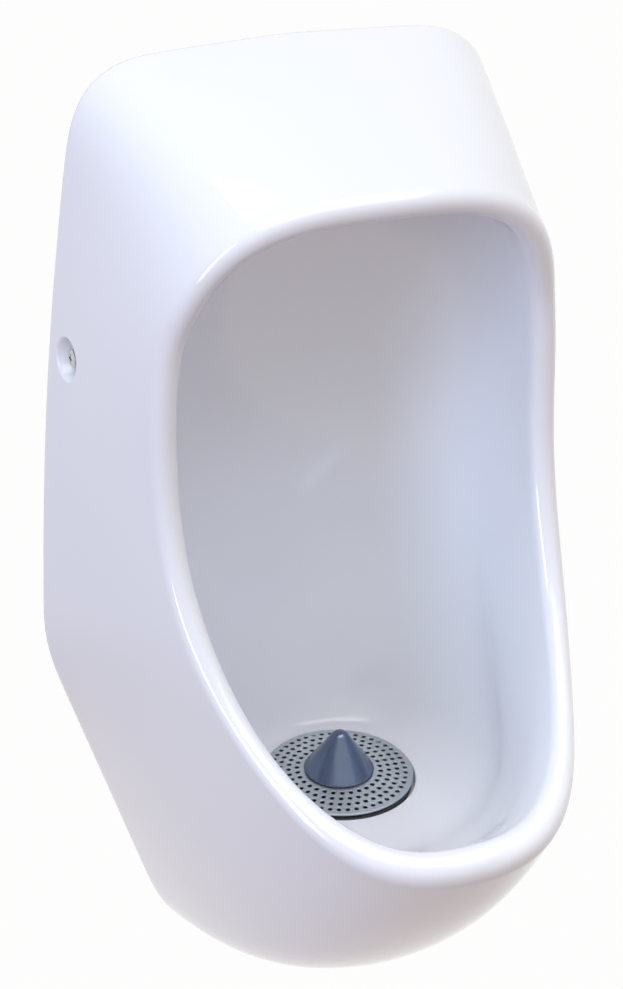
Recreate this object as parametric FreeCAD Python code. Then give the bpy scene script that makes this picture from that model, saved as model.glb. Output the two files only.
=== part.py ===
"""Wall hung waterless urinal: glazed china body, strainer, lift-out trap, outlet and wall fixings.

Frame: millimetres, X to the right seen from the front, Y towards the wall, Z up.  The wall plane is
y = 0 and the origin lies on it in the middle of the china's lowest land.
"""
import os
from math import acos, asin, atan2, copysign, cos, dist, exp, pi, radians, sin, sqrt, tan

import FreeCAD
import Part

# ---- china body: outline on the wall -----------------------------------------------------------
HEIGHT = 681.0            # top of the china above the origin
FOOT_DROP = 4.0           # the lowest edge lies this far below the origin
HALF_TOP = 142.5          # half width of the top edge, corners unrounded
HALF_WAIST = 170.0        # half width at the widest place
WAIST_Z = 268.0           # height of the widest place
HALF_FOOT = 77.0          # half width near the foot
FOOT_Z = 4.0              # height of the foot corners
TOP_ARCH = 6.0            # rise of the top edge in the middle
TOP_ROUND, WAIST_ROUND, FOOT_ROUND = 42.0, 70.0, 52.0      # corner radii of that outline
# ---- china body: rim line (middle of the roll) -------------------------------------------------
RIM_HALF = 128.5          # half width of the rim
RIM_Z = 433.0             # height of its widest place
HOOD_DROP = 55.0          # the rim's top lies this far below the top of the china
RIM_UP = HEIGHT - HOOD_DROP - RIM_Z  # reach of the rim above its widest place
RIM_DOWN = 172.0          # and below it
SQUARE_UP, SQUARE_DOWN = 3.5, 2.6    # squareness of the rim above and below (2 = ellipse)
NECK_UP = 0.544           # the rim lies nearest to the wall at this share of its reach upwards
NECK_Z = RIM_Z + NECK_UP * RIM_UP
DEPTH_NECK, DEPTH_TOP, DEPTH_LIP = 128.0, 158.0, 325.0     # distance of the rim from the wall
BEND_TOP, BEND_LIP = 1.1, 3.4        # how late the rim swings forward above and below the neck
ROLL_SIDE, ROLL_LIP = 9.5, 12.0      # radius of the rolled rim at the sides and at the lip
ROLL_TURN = 50.0          # degrees by which the roll leans back at the lip
# ---- china body: fullness, bowl and wall thickness ---------------------------------------------
CHIN = 34.0               # fullness of the underside
HOOD_BOW, SIDE_BOW = 5.0, 2.0        # fullness of hood and side panels
BOWL_BACK = 34.0          # distance of the bowl's back from the wall
BACK_SWEEP = 0.352        # the bowl's back turns into its floor at this share of the bowl's height
FLOOR_Z = 200.0           # height of the bowl floor at the drain
WALL_T, FLOOR_T = 9.0, 16.0          # thickness of the china walls and round the drain
SPOKES = 32               # outline stations on each half
# ---- drain, strainer and trap ------------------------------------------------------------------
DRAIN_Y = -122.0          # drain axis in front of the wall
SEAT_R, SEAT_DEPTH, SEAT_LAND = 51.6, 6.0, 4.4     # recess in the bowl floor and the land round it
DRAIN_R = 42.5            # hole through the china
PLATE_R, PLATE_T = 50.3, 1.5         # strainer plate
PLATE_RISE = 2.1          # the plate rises by this much to its flat middle
PLATE_FLAT_R = 24.5
HOLE_R = 1.4              # strainer holes, four rings
HOLE_RINGS = ((30, 0.560), (36, 0.672), (42, 0.784), (48, 0.896))   # count, radius / PLATE_R
HOLE_SIDES = 6            # the holes are cut as regular hexagons
LUG_COUNT, LUG_H = 6, 2.5            # plate feet
CONE_R, CONE_H, CONE_TIP_R = 23.6, 29.5, 7.0
CONE_WALL = 1.6
GASKET_T = 0.8
BELL_R, BELL_T, BELL_DIP = 20.0, 2.0, 104.0          # bell radius, wall, lower edge above the datum
HOUSING_R, HOUSING_T = 41.0, 2.5     # trap housing tube
FLANGE_R, FLANGE_T = 49.5, 3.0
HOUSING_FOOT_Z = 84.0
CUP_R, CUP_LOW_R, CUP_T = 35.4, 30.5, 3.0          # lift-out cup: neck, pot and wall
CUP_FOOT_Z, CUP_NECK_Z, CUP_TOP_Z, CUP_FLOOR_T = 96.0, 158.0, 188.0, 2.5
STANDPIPE_R, STANDPIPE_T, STANDPIPE_Z = 11.0, 2.0, 150.0
ORING_R = 1.0             # section radius of the cup's seals
SEAL_T, WASHER_T = 2.0, 3.0
NUT_H, NUT_R = 12.0, 54.0
# ---- outlet ------------------------------------------------------------------------------------
OUTLET_Z = 110.0
BRANCH_R, BRANCH_T, BRANCH_END = 21.0, 3.0, -60.0
PIPE_R, PIPE_T, PIPE_INSIDE = 16.0, 2.0, 24.0
# ---- wall fixing -------------------------------------------------------------------------------
SIDE_HOLE_Y, SIDE_HOLE_Z, SIDE_HOLE_R = -26.0, 491.0, 8.0
PANEL_X = (HALF_WAIST + (HALF_TOP - HALF_WAIST) * (SIDE_HOLE_Z - WAIST_Z)
           / (HEIGHT - TOP_ARCH - WAIST_Z))            # half width of the side panel there
POCKET_SINK = 7.43        # depth of the pocket floor below the panel's line
POCKET_R, POCKET_FLOOR_R, POCKET_FLOOR_X = 14.0, 11.6, PANEL_X - POCKET_SINK
BRACKET_T, BRACKET_REACH = 3.0, 38.0
PANEL_LEAN = (PANEL_X - RIM_HALF - ROLL_SIDE) / DEPTH_NECK      # how fast the panel nears the rim
LEG_GAP = 2.4             # between the china's inner face and the leg; the clip's hook passes here
BRACKET_LEG_X = PANEL_X - BRACKET_REACH * PANEL_LEAN - WALL_T - LEG_GAP
BRACKET_PLATE_W, BRACKET_PLATE_H, BRACKET_LEG_H = 34.0, 96.0, 40.0
WALL_HOLE_R, WALL_HOLE_STEP = 3.6, 64.0
SCREW_R, SCREW_HEAD_R, SCREW_HEAD_T = 3.0, 6.2, 3.2
# ---- clearances --------------------------------------------------------------------------------
GAP = 0.3                 # between pieces that don't touch
TOUCH = 0.1               # between a seal and the bore it fills


# ---- small vector helpers ----------------------------------------------------------------------
def move(p, q, k=1.0):
    return tuple(a + k * b for a, b in zip(p, q))


def mix(p, q, t):
    return tuple(a + (b - a) * t for a, b in zip(p, q))


def minus(p, q):
    return tuple(a - b for a, b in zip(p, q))


def unit(a):
    length = sqrt(sum(c * c for c in a))
    return tuple(c / length for c in a)


def cross(a, b):
    return (a[1] * b[2] - a[2] * b[1], a[2] * b[0] - a[0] * b[2], a[0] * b[1] - a[1] * b[0])


def ease(t):
    t = max(0.0, min(1.0, t))
    return t * t * (3.0 - 2.0 * t)


def wave(phi, top, side, low):
    """Even wave round the outline through its values at the top, at the sides and at the foot."""
    return ((top + low + 2.0 * side) / 4.0 + (top - low) / 2.0 * cos(phi)
            + (top + low - 2.0 * side) / 4.0 * cos(2.0 * phi))


# ---- outlines of the china ---------------------------------------------------------------------
def evenly(points, count):
    """Points at equal distances along a fine line."""
    run = [0.0]
    for p, q in zip(points, points[1:]):
        run.append(run[-1] + dist(p, q))
    out, k = [], 0
    for i in range(count + 1):
        want = run[-1] * i / count
        while k < len(run) - 2 and run[k + 1] < want:
            k += 1
        out.append(mix(points[k], points[k + 1], (want - run[k]) / (run[k + 1] - run[k])))
    return out


def rounded(a, b, c, radius, steps=8):
    """Points on the arc that rounds the corner b between a and c."""
    u, w = unit(minus(a, b)), unit(minus(c, b))
    half = acos(sum(x * y for x, y in zip(u, w))) / 2.0
    centre = move(b, unit(move(u, w)), radius / sin(half))
    first = minus(move(b, u, radius / tan(half)), centre)
    last = minus(move(b, w, radius / tan(half)), centre)
    span = pi - 2.0 * half
    return [move(centre, tuple((sin((1 - k / steps) * span) * x + sin(k / steps * span) * y) / sin(span)
                               for x, y in zip(first, last))) for k in range(steps + 1)]


def mirrored(half):
    return half + [(-x, y, z) for x, y, z in half[-2:0:-1]]


def wall_outline(inset=0.0):
    """Shield with rounded corners on the wall plane, from the top middle clockwise."""
    keys = [(0.0, HEIGHT - inset), (HALF_TOP - inset, HEIGHT - TOP_ARCH - inset),
            (HALF_WAIST - inset, WAIST_Z), (HALF_FOOT - 0.8 * inset, FOOT_Z + inset),
            (0.0, inset - FOOT_DROP)]
    line = [keys[0]]
    for i, radius in enumerate((TOP_ROUND, WAIST_ROUND, FOOT_ROUND), 1):
        line += rounded(keys[i - 1], keys[i], keys[i + 1], radius - 0.6 * inset)
    line.append(keys[4])
    return mirrored([(x, 0.0, z) for x, z in evenly(line, SPOKES)])


def rim_depth(z):
    above = max(0.0, (z - NECK_Z) / (RIM_Z + RIM_UP - NECK_Z))
    below = max(0.0, (NECK_Z - z) / (NECK_Z - RIM_Z + RIM_DOWN))
    return (DEPTH_NECK + (DEPTH_TOP - DEPTH_NECK) * above ** BEND_TOP
            + (DEPTH_LIP - DEPTH_NECK) * below ** BEND_LIP)


def rim_outline():
    """Superellipse in the front view that swings forward to the lip and to the hood."""
    line, fine = [], 400
    for i in range(fine + 1):
        c, s = cos(pi * i / fine), sin(pi * i / fine)
        power, rise = (SQUARE_UP, RIM_UP) if c > 0 else (SQUARE_DOWN, RIM_DOWN)
        x = RIM_HALF * s ** (2.0 / power) if 0 < i < fine else 0.0
        z = RIM_Z + copysign(rise * abs(c) ** (2.0 / power), c)
        line.append((x, -rim_depth(z), z))
    return mirrored(evenly(line, SPOKES))


def stations():
    """Fraction from top (0) to foot (1), its angle, and the side, for each point of an outline."""
    out = []
    for i in range(2 * SPOKES):
        f = i / SPOKES if i <= SPOKES else 2.0 - i / SPOKES
        out.append((f, pi * f, 1.0 if i <= SPOKES else -1.0))
    return out


def roll_row(angle, puff=1.0):
    """One row of the rolled rim; 0 degrees faces outwards, 90 forwards, 180 into the bowl."""
    rim, row = rim_outline(), []
    for i, (f, _, _) in enumerate(stations()):
        p = rim[i]
        along = unit(minus(rim[(i + 1) % len(rim)], rim[i - 1]))
        out = unit((-along[2], 0.0, along[0]))
        if out[0] * p[0] + out[2] * (p[2] - RIM_Z) < 0:
            out = (-out[0], 0.0, -out[2])
        front = unit(cross(out, along))
        if front[1] > 0:
            front = tuple(-c for c in front)
        r = puff * (ROLL_SIDE + (ROLL_LIP - ROLL_SIDE) * ease((f - 0.5) / 0.5))
        a = radians(angle + ROLL_TURN * max(0.0, (f - 0.45) / 0.55) ** 1.5)
        row.append(tuple(p[k] + r * (cos(a) * out[k] + sin(a) * front[k]) for k in range(3)))
    return row


def skin_row(t):
    """Row of the outer skin at fraction t between the wall and the rim."""
    b, row = 4.0 * t * (1.0 - t), []
    for w, e, (f, phi, side) in zip(wall_outline(), roll_row(-5.0), stations()):
        bow = HOOD_BOW * max(0.0, 1.0 - 4.0 * f) + SIDE_BOW * exp(-((f - 0.4) / 0.2) ** 2)
        under = CHIN * ease((f - 0.6) / 0.4)
        p = mix(w, e, t)
        row.append((p[0] + b * bow * sin(phi) * side, p[1] - 0.8 * b * under,
                    p[2] + b * (bow * cos(phi) - under)))
    return row


def floor_ring(phi, side, out, up):
    r = SEAT_R + SEAT_LAND + out
    return (r * sin(phi) * side, DRAIN_Y + r * cos(phi), FLOOR_Z + up)


def bowl_rows():
    """Rows from the rim over the back and the sides of the bowl down to the drain."""
    throat, deep, low, rest, near, edge = [], [], [], [], [], []
    sweep = BACK_SWEEP * (RIM_Z + RIM_UP - FLOOR_Z)
    for p, (_, phi, side) in zip(roll_row(187.0), stations()):
        d = -BOWL_BACK - p[1]
        throat.append((p[0] * 0.985, p[1] + d * wave(phi, 0.65, 0.25, 0.07),
                       p[2] + wave(phi, 6.0, -5.0, -14.0)))
        deep.append((p[0] * wave(phi, 0.86, 0.90, 0.92), p[1] + d * wave(phi, 1.0, 0.36, 0.15),
                     FLOOR_Z + (p[2] - FLOOR_Z) * wave(phi, 0.92, 0.60, 0.42)))
        low.append(floor_ring(phi, side, wave(phi, 30.0, 52.0, 50.0), wave(phi, sweep, 45.0, 8.0)))
        rest.append(floor_ring(phi, side, wave(phi, 24.0, 28.0, 30.0), wave(phi, 26.0, 7.0, 3.0)))
        near.append(floor_ring(phi, side, 8.0, 0.6))
        edge.append(floor_ring(phi, side, 0.0, 0.0))
    return [throat, deep, low, rest, near, edge]


def china_net():
    """Closed outlines from the wall edge over skin and rim into the bowl, down to the drain."""
    wall = wall_outline()
    rows = [wall, [(x, y - 2.0, z) for x, y, z in wall]]
    rows += [skin_row(t) for t in (0.06, 0.2, 0.4, 0.6, 0.8, 0.93)]
    rows += [roll_row(-5.0), roll_row(25.0)] + [roll_row(a, 1.03) for a in (60.0, 90.0, 120.0, 155.0)]
    return rows + [roll_row(187.0)] + bowl_rows()


def sunk(rows, k, amount):
    """Row k of a net moved into the china along the net's own normals."""
    n, out = len(rows[k]), []
    for i in range(n):
        normal = unit(cross(minus(rows[k][(i + 1) % n], rows[k][i - 1]),
                            minus(rows[k + 1][i], rows[k - 1][i])))
        out.append(move(rows[k][i], normal, amount))
    return out


def hollow_net(net):
    """Outlines of the space behind the skin and behind the bowl, open to the wall."""
    inset = wall_outline(WALL_T + 1.0)
    skin = [sunk(net, k, 1.1 * WALL_T) for k in (3, 4, 5)]
    bowl = [sunk(net, k, 1.15 * WALL_T) for k in (15, 16, 17, 18)]
    nose = [mix(mix(a, b, 0.5), c, 0.45) for a, b, c in zip(skin[-1], bowl[0], roll_row(90.0))]
    rows = [[(x, 3.0, z) for x, _, z in inset], [(x, -3.0, z) for x, _, z in inset]] + skin
    rows.append([mix(a, b, 0.35) for a, b in zip(skin[-1], nose)])
    rows.append([mix(a, b, 0.35) for a, b in zip(bowl[0], nose)])
    rows += bowl
    for out in (24.0, 10.0):
        rows.append([floor_ring(phi, side, out, -FLOOR_T) for _, phi, side in stations()])
    return rows


def net_solid(rows):
    """Solid below one smooth surface over a net of closed rows, capped flat at both ends."""
    surface = Part.BSplineSurface()
    around, along = len(rows[0]), len(rows)
    poles = [[FreeCAD.Vector(*rows[v][u]) for v in range(along)] for u in range(around)]
    inner = along - 4
    surface.buildFromPolesMultsKnots(
        poles, [1] * (around + 1), [4] + [1] * inner + [4],
        list(range(around + 1)), list(range(inner + 2)), True, False, 3, 3)
    skin = surface.toShape()
    rings = [e for e in skin.Edges if e.isClosed()]
    shell = Part.Compound([skin] + [Part.Face(Part.Wire([e])) for e in rings])
    shell.sewShape()
    return Part.Solid(shell.Shells[0])


# ---- turned and plain forms --------------------------------------------------------------------
def at_drain(z=0.0):
    return FreeCAD.Vector(0.0, DRAIN_Y, z)


def turned(profile):
    """Solid of revolution about the drain axis from (radius, height) corners."""
    points = [FreeCAD.Vector(r, DRAIN_Y, z) for r, z in profile]
    face = Part.Face(Part.makePolygon(points + points[:1]))
    return face.revolve(at_drain(), FreeCAD.Vector(0, 0, 1), 360.0)


def ring(inner, outer, low, high):
    return turned([(inner, low), (outer, low), (outer, high), (inner, high)])


def rod(radius, start, axis, length):
    return Part.makeCylinder(radius, length, FreeCAD.Vector(*start), FreeCAD.Vector(*axis))


def box(x0, x1, y0, y1, z0, z1):
    return Part.makeBox(x1 - x0, y1 - y0, z1 - z0, FreeCAD.Vector(x0, y0, z0))


def other_side(shape):
    return shape.mirror(FreeCAD.Vector(0, 0, 0), FreeCAD.Vector(1, 0, 0))


def around_drain(shape, count, start=0.0):
    copies = []
    for k in range(count):
        c = shape.copy()
        c.rotate(at_drain(), FreeCAD.Vector(0, 0, 1), start + 360.0 * k / count)
        copies.append(c)
    return copies


# ---- the pieces --------------------------------------------------------------------------------
def side_hole():
    """Countersunk fixing hole through the right side panel."""
    y, z = SIDE_HOLE_Y, SIDE_HOLE_Z
    hole = rod(SIDE_HOLE_R, (BRACKET_LEG_X - 8.0, y, z), (1, 0, 0), 40.0)
    depth = 8.0
    grow = POCKET_R + (POCKET_R - POCKET_FLOOR_R) * 0.4
    pocket = Part.makeCone(POCKET_FLOOR_R, grow, depth,
                           FreeCAD.Vector(POCKET_FLOOR_X, y, z), FreeCAD.Vector(1, 0, 0))
    mouth = rod(grow, (POCKET_FLOOR_X + depth, y, z), (1, 0, 0), 12.0)
    return hole.fuse(pocket).fuse(mouth)


def urinal_body():
    net = china_net()
    body = net_solid(net).cut(net_solid(hollow_net(net)))
    body = body.cut(rod(SEAT_R, (0, DRAIN_Y, FLOOR_Z - SEAT_DEPTH), (0, 0, 1), SEAT_DEPTH + 2.0))
    body = body.cut(rod(DRAIN_R, (0, DRAIN_Y, FLOOR_Z - FLOOR_T - 5.0), (0, 0, 1), FLOOR_T + 5.0))
    hole = side_hole()
    body = body.cut(hole).cut(other_side(hole))
    return body.Solids[0] if len(body.Solids) == 1 else max(body.Solids, key=lambda s: s.Volume)


FLANGE_TOP = FLOOR_Z - SEAT_DEPTH + SEAL_T + FLANGE_T
PLATE_LOW = FLANGE_TOP + LUG_H
PLATE_TOP = PLATE_LOW + PLATE_T + PLATE_RISE


def strainer_plate():
    """Low coned plate with four rings of holes, feet on the housing flange and legs in the cup."""
    rim, flat, low = PLATE_R, PLATE_FLAT_R, PLATE_LOW
    body = turned([(SCREW_R + GAP, low + PLATE_RISE), (flat, low + PLATE_RISE), (rim - 0.6, low),
                   (rim, low + 0.6), (rim, low + PLATE_T - 0.6), (rim - 0.6, low + PLATE_T),
                   (flat, low + PLATE_T + PLATE_RISE), (SCREW_R + GAP, low + PLATE_T + PLATE_RISE)])
    cutters = []
    for count, part in HOLE_RINGS:
        corners = [FreeCAD.Vector(PLATE_R * part + HOLE_R * cos(2 * pi * k / HOLE_SIDES),
                                  DRAIN_Y + HOLE_R * sin(2 * pi * k / HOLE_SIDES), low - 1.0)
                   for k in range(HOLE_SIDES + 1)]
        prism = Part.Face(Part.makePolygon(corners)).extrude(FreeCAD.Vector(0, 0, 8.0))
        cutters += around_drain(prism, count)
    body = body.cut(Part.makeCompound(cutters))
    foot = box(FLANGE_R - 4.5, FLANGE_R - 1.5, DRAIN_Y - 3.0, DRAIN_Y + 3.0, FLANGE_TOP, low + 0.4)
    leg_r = CUP_R - CUP_T - GAP
    leg = box(leg_r - 2.2, leg_r - 0.4, DRAIN_Y - 2.0, DRAIN_Y + 2.0, CUP_TOP_Z - 8.0, low + 1.6)
    for part in around_drain(foot, LUG_COUNT, 30.0) + around_drain(leg, 3, 90.0):
        body = body.fuse(part)
    return body.removeSplitter()


def strainer_cone():
    """Hollow polished cone with a ball tip and a boss for the screw."""
    base = PLATE_TOP + GASKET_T
    skirt, boss_r = base + 2.0, 6.0
    ball_z = base + CONE_H - CONE_TIP_R
    reach = sqrt(CONE_R ** 2 + (ball_z - skirt) ** 2)
    lean = atan2(ball_z - skirt, CONE_R) + asin(CONE_TIP_R / reach)
    flank = FreeCAD.Vector(CONE_TIP_R * sin(lean), DRAIN_Y, ball_z + CONE_TIP_R * cos(lean))
    middle = FreeCAD.Vector(CONE_TIP_R * sin(lean / 2), DRAIN_Y, ball_z + CONE_TIP_R * cos(lean / 2))
    tip = FreeCAD.Vector(0, DRAIN_Y, base + CONE_H)
    cap = Part.Arc(flank, middle, tip).toShape()
    slope = tan(lean)
    corners = [(0, base + CONE_H), (0, base + 17.0), (SCREW_R, base + 17.0), (SCREW_R, base),
               (boss_r, base), (boss_r, skirt + (CONE_R - CONE_WALL * 2.0 - boss_r) * slope),
               (CONE_R - CONE_WALL, skirt - 0.8), (CONE_R - CONE_WALL, base), (CONE_R, base),
               (CONE_R, skirt)]
    line = Part.makePolygon([FreeCAD.Vector(r, DRAIN_Y, z) for r, z in corners] + [flank])
    return Part.Face(Part.Wire(line.Edges + [cap])).revolve(at_drain(), FreeCAD.Vector(0, 0, 1), 360.0)


def cone_gasket():
    return ring(SCREW_R + GAP, CONE_R - 0.4, PLATE_TOP, PLATE_TOP + GASKET_T)


def dip_bell():
    """Inverted cup below the plate; four notches let the liquid pass under its edge."""
    top = PLATE_LOW + PLATE_RISE
    bell = turned([(SCREW_R + GAP, top - 3.0), (BELL_R - BELL_T, top - 3.0), (BELL_R - BELL_T, BELL_DIP),
                   (BELL_R, BELL_DIP), (BELL_R, top), (SCREW_R + GAP, top)])
    notch = box(0.0, BELL_R + 2.0, DRAIN_Y - 4.0, DRAIN_Y + 4.0, BELL_DIP - 1.0, BELL_DIP + 6.0)
    for part in around_drain(notch, 4, 45.0):
        bell = bell.cut(part)
    return bell


def cone_screw():
    """Pan head screw from inside the bell through bell, plate and gasket into the cone."""
    top = PLATE_LOW + PLATE_RISE - 3.0
    return turned([(0, top - 2.8), (5.6, top - 2.8), (5.6, top), (SCREW_R, top),
                   (SCREW_R, PLATE_TOP + GASKET_T + 15.0), (SCREW_R - 0.8, PLATE_TOP + GASKET_T + 16.0),
                   (0, PLATE_TOP + GASKET_T + 16.0)])


def trap_cup():
    """Lift-out cup with a bored floor and two grooves for its seals."""
    inner, groove = CUP_R - CUP_T, CUP_R - 1.45
    depth = ORING_R + 0.15
    step = CUP_R - CUP_LOW_R
    profile = [(STANDPIPE_R - STANDPIPE_T, CUP_FOOT_Z), (CUP_LOW_R - 2.0, CUP_FOOT_Z),
               (CUP_LOW_R, CUP_FOOT_Z + 2.0), (CUP_LOW_R, CUP_NECK_Z - step), (CUP_R, CUP_NECK_Z)]
    for z in ORING_Z:
        profile += [(CUP_R, z - depth), (groove, z - depth), (groove, z + depth), (CUP_R, z + depth)]
    profile += [(CUP_R, CUP_TOP_Z - 3.0), (HOUSING_R - HOUSING_T - GAP, CUP_TOP_Z - 3.0),
                (HOUSING_R - HOUSING_T - GAP, CUP_TOP_Z), (inner, CUP_TOP_Z), (inner, CUP_NECK_Z + 1.2),
                (inner - step, CUP_NECK_Z - step + 1.2), (inner - step, CUP_FOOT_Z + CUP_FLOOR_T),
                (STANDPIPE_R - STANDPIPE_T, CUP_FOOT_Z + CUP_FLOOR_T)]
    cup = turned(profile)
    slot = box(HOUSING_R - HOUSING_T - GAP - 2.2, HOUSING_R, DRAIN_Y - 4.0, DRAIN_Y + 4.0,
               CUP_TOP_Z - 4.0, CUP_TOP_Z + 1.0)
    for part in around_drain(slot, 2):
        cup = cup.cut(part)
    return cup


def trap_standpipe():
    """Overflow pipe welded onto the cup's floor over the bore."""
    return ring(STANDPIPE_R - STANDPIPE_T, STANDPIPE_R, CUP_FOOT_Z + CUP_FLOOR_T, STANDPIPE_Z)


ORING_Z = (166.0, 176.0)


def cup_oring(z):
    """Seal ring; its round section is drawn with twelve sides."""
    centre = CUP_R - 1.45 + TOUCH + ORING_R
    return turned([(centre + ORING_R * cos(pi * k / 6), z + ORING_R * sin(pi * k / 6)) for k in range(12)])


def branch_bore():
    return rod(BRANCH_R - BRANCH_T, (0, DRAIN_Y + CUP_R - 2.0, OUTLET_Z), (0, 1, 0), 70.0)


def trap_housing():
    """Pot with a flange on the china and a shoulder for the cup; its wall is bored for the outlet."""
    bore = CUP_R - 1.45 + 2.0 * TOUCH + 2.0 * ORING_R
    shoulder = CUP_TOP_Z - 3.0
    pot = turned([(0, HOUSING_FOOT_Z), (HOUSING_R, HOUSING_FOOT_Z), (HOUSING_R, FLANGE_TOP - FLANGE_T),
                  (FLANGE_R, FLANGE_TOP - FLANGE_T), (FLANGE_R, FLANGE_TOP - 0.6),
                  (FLANGE_R - 0.8, FLANGE_TOP), (HOUSING_R + 1.0, FLANGE_TOP),
                  (HOUSING_R - HOUSING_T, FLANGE_TOP - 1.6), (HOUSING_R - HOUSING_T, shoulder),
                  (bore, shoulder), (bore, CUP_FOOT_Z + 40.0), (bore, HOUSING_FOOT_Z + HOUSING_T),
                  (0, HOUSING_FOOT_Z + HOUSING_T)])
    return pot.cut(branch_bore())


def outlet_branch():
    """Spigot whose saddle end is welded onto the pot; the union nut screws onto the other end."""
    tube = rod(BRANCH_R, (0, DRAIN_Y, OUTLET_Z), (0, 1, 0), BRANCH_END - DRAIN_Y)
    pot = rod(HOUSING_R, (0, DRAIN_Y, HOUSING_FOOT_Z - 20.0), (0, 0, 1), 90.0)
    return tube.cut(pot).cut(branch_bore())


def flange_seal():
    low = FLOOR_Z - SEAT_DEPTH
    return ring(DRAIN_R + 1.0, FLANGE_R - 0.5, low, low + SEAL_T)


def backnut_washer():
    top = FLOOR_Z - FLOOR_T
    return ring(HOUSING_R + GAP, NUT_R + 1.0, top - WASHER_T, top)


def backnut():
    """Ring nut with six grip wings."""
    top = FLOOR_Z - FLOOR_T - WASHER_T
    nut = ring(HOUSING_R + GAP, NUT_R - 4.0, top - NUT_H, top)
    wing = box(NUT_R - 7.0, NUT_R, DRAIN_Y - 4.0, DRAIN_Y + 4.0, top - NUT_H, top)
    for part in around_drain(wing, 6):
        nut = nut.fuse(part)
    return nut.removeSplitter()


def along_y(profile):
    """Solid of revolution about the outlet axis from (radius, y) corners."""
    points = [FreeCAD.Vector(r, y, OUTLET_Z) for r, y in profile]
    face = Part.Face(Part.makePolygon(points + points[:1]))
    return face.revolve(FreeCAD.Vector(0, 0, OUTLET_Z), FreeCAD.Vector(0, 1, 0), 360.0)


def outlet_seal():
    """Tapered ring between the branch mouth, the pipe and the union nut."""
    end = BRANCH_END
    return along_y([(PIPE_R + TOUCH, end), (BRANCH_R - 0.4, end), (BRANCH_R - 1.6, end + 5.0),
                    (PIPE_R + TOUCH, end + 5.0)])


def outlet_nut():
    end = BRANCH_END
    nut = along_y([(BRANCH_R + GAP, end - 14.0), (BRANCH_R + 5.0, end - 14.0), (BRANCH_R + 5.0, end + 8.0),
                   (PIPE_R + 2.0, end + 8.0), (PIPE_R + 2.0, end + 5.0), (BRANCH_R + GAP, end + 5.0)])
    rib = Part.makeBox(3.0, 20.0, 3.0, FreeCAD.Vector(-1.5, end - 13.0, OUTLET_Z + BRANCH_R + 3.5))
    for k in range(8):
        r = rib.copy()
        r.rotate(FreeCAD.Vector(0, 0, OUTLET_Z), FreeCAD.Vector(0, 1, 0), 45.0 * k)
        nut = nut.fuse(r)
    return nut.removeSplitter()


def waste_pipe():
    start = BRANCH_END - PIPE_INSIDE + 10.0
    return along_y([(PIPE_R - PIPE_T, start), (PIPE_R, start), (PIPE_R, 0.0), (PIPE_R - PIPE_T, 0.0)])


def bracket():
    """Right steel angle: plate on the wall with two holes, leg with the hole for the side screw."""
    y, z, t = SIDE_HOLE_Y, SIDE_HOLE_Z, BRACKET_T
    x_out, x_in = BRACKET_LEG_X, BRACKET_LEG_X - BRACKET_PLATE_W
    plate = box(x_in, x_out, -t, 0.0, z - BRACKET_PLATE_H / 2, z + BRACKET_PLATE_H / 2)
    leg = box(x_out - t, x_out, -BRACKET_REACH, 0.0, z - BRACKET_LEG_H / 2, z + BRACKET_LEG_H / 2)
    body = plate.fuse(leg).removeSplitter()
    body = body.cut(rod(SCREW_R + GAP, (x_out - 10.0, y, z), (1, 0, 0), 20.0))
    hole_x = x_out - t - BRACKET_PLATE_W / 2 + 1.5
    for s in (-1, 1):
        body = body.cut(rod(WALL_HOLE_R, (hole_x, -t - 5.0, z + s * WALL_HOLE_STEP / 2), (0, 1, 0), 20.0))
    return body


def clip_nut():
    """Right threaded clip: a block behind the bracket leg, clipped over its front edge."""
    y, z, x = SIDE_HOLE_Y, SIDE_HOLE_Z, BRACKET_LEG_X - BRACKET_T
    block = box(x - 7.0, x, y - 8.0, y + 8.0, z - 8.0, z + 8.0)
    tongue = box(x - 2.0, x, -BRACKET_REACH - 2.0, y, z - 5.0, z + 5.0)
    hook = box(x - 2.0, BRACKET_LEG_X + 1.2, -BRACKET_REACH - 2.0, -BRACKET_REACH, z - 5.0, z + 5.0)
    lip = box(BRACKET_LEG_X, BRACKET_LEG_X + 1.2, -BRACKET_REACH - 2.0, -BRACKET_REACH + 3.0,
              z - 5.0, z + 5.0)
    body = block.fuse(tongue).fuse(hook).fuse(lip).removeSplitter()
    return body.cut(rod(SCREW_R, (x - 10.0, y, z), (1, 0, 0), 20.0))


def along_x(profile):
    """Solid of revolution about the right side hole from (radius, x) corners."""
    points = [FreeCAD.Vector(x, SIDE_HOLE_Y + r, SIDE_HOLE_Z) for r, x in profile]
    face = Part.Face(Part.makePolygon(points + points[:1]))
    axis = FreeCAD.Vector(0, SIDE_HOLE_Y, SIDE_HOLE_Z)
    return face.revolve(axis, FreeCAD.Vector(1, 0, 0), 360.0)


BUSH_COLLAR_T = 2.0


def side_bush():
    """Right plastic sleeve with a collar on the pocket floor."""
    floor, low = POCKET_FLOOR_X, BRACKET_LEG_X
    sleeve, bore = SIDE_HOLE_R - GAP, SCREW_R + GAP
    return along_x([(bore, low), (sleeve, low), (sleeve, floor), (POCKET_FLOOR_R - 0.8, floor),
                    (POCKET_FLOOR_R - 0.8, floor + BUSH_COLLAR_T), (bore, floor + BUSH_COLLAR_T)])


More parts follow.
